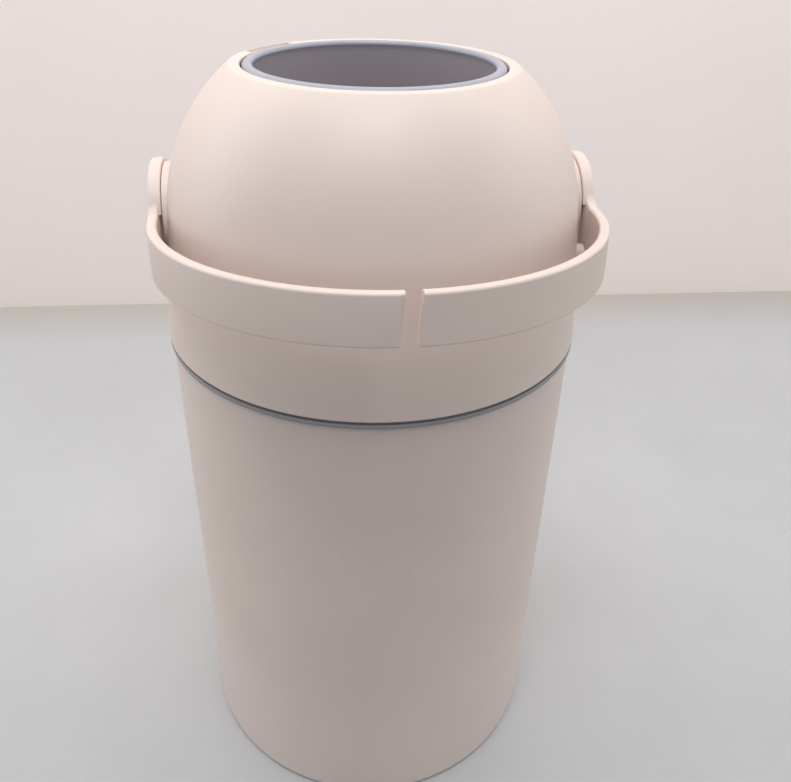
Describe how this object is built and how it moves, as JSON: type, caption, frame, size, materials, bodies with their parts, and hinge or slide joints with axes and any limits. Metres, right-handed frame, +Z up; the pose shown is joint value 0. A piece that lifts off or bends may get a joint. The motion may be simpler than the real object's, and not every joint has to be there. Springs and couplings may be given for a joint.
{
  "type": "diaper pail",
  "caption": "Round diaper pail with a domed top, a broad bow handle on side pivots that turns a drum with a sliding piston, and a lift-out bag ring.",
  "frame": {"origin": "centre of the bucket's foot ring, on the floor, on the axis of the bucket and the drum's bore", "axes": "+Z up, -Y to the front where the handle rests, +X along the handle's pivot axis to the right"},
  "size_m": [0.2838, 0.3164, 0.5305],
  "materials": {
    "cream_plastic": "satin moulded plastic, warm cream, very fine even grain",
    "drum_plastic": "satin moulded plastic, darker cream",
    "grey_plastic": "smooth satin plastic, pale bluish grey",
    "dark_grey_plastic": "smooth satin plastic, dark lilac grey",
    "seal_rubber": "soft matt rubber",
    "steel": "zinc-plated steel"
  },
  "bodies": {
    "root": {"bucket": "cream_plastic"},
    "bag_ring": {"bag_ring": "grey_plastic"},
    "top": {"top_housing": "cream_plastic", "upper_seal": "seal_rubber", "pivot_bush_left": "dark_grey_plastic", "pivot_bush_right": "dark_grey_plastic", "drum_cradle": "dark_grey_plastic", "lower_seal": "seal_rubber", "seam_gasket": "seal_rubber", "cradle_screws": "steel"},
    "drum": {"drum_shell_upper": "drum_plastic", "drum_shell_lower": "drum_plastic", "drum_liner": "dark_grey_plastic", "rim_ring_upper": "grey_plastic", "rim_ring_lower": "grey_plastic", "drum_screws": "steel", "trunnion_left": "steel", "trunnion_right": "steel", "handle_left": "cream_plastic", "handle_right": "cream_plastic", "handle_screws": "steel", "ear_cover_left": "cream_plastic", "ear_cover_right": "cream_plastic"},
    "piston": {"piston_cup_upper": "dark_grey_plastic", "piston_cup_lower": "dark_grey_plastic", "piston_weight": "steel", "piston_wiper": "seal_rubber"}
  },
  "joints": [
    {"name": "top_lift", "type": "slide", "parent": "root", "child": "top", "axis": [0, 0, 1], "range_m": [0, 0.16]},
    {"name": "bag_ring_lift", "type": "slide", "parent": "root", "child": "bag_ring", "axis": [0, 0, 1], "range_m": [0, 0.08]},
    {"name": "drum_turn", "type": "hinge", "parent": "top", "child": "drum", "pos_m": [0, 0, 0.4392], "axis": [-1, 0, 0], "range_deg": [0, 180]},
    {"name": "piston_slide", "type": "slide", "parent": "drum", "child": "piston", "axis": [0, 0, 1], "range_m": [0, 0.114]}
  ],
  "couplings": [
    {"joint": "bag_ring_lift", "follows": "top_lift", "ratio": 0.5}
  ]
}
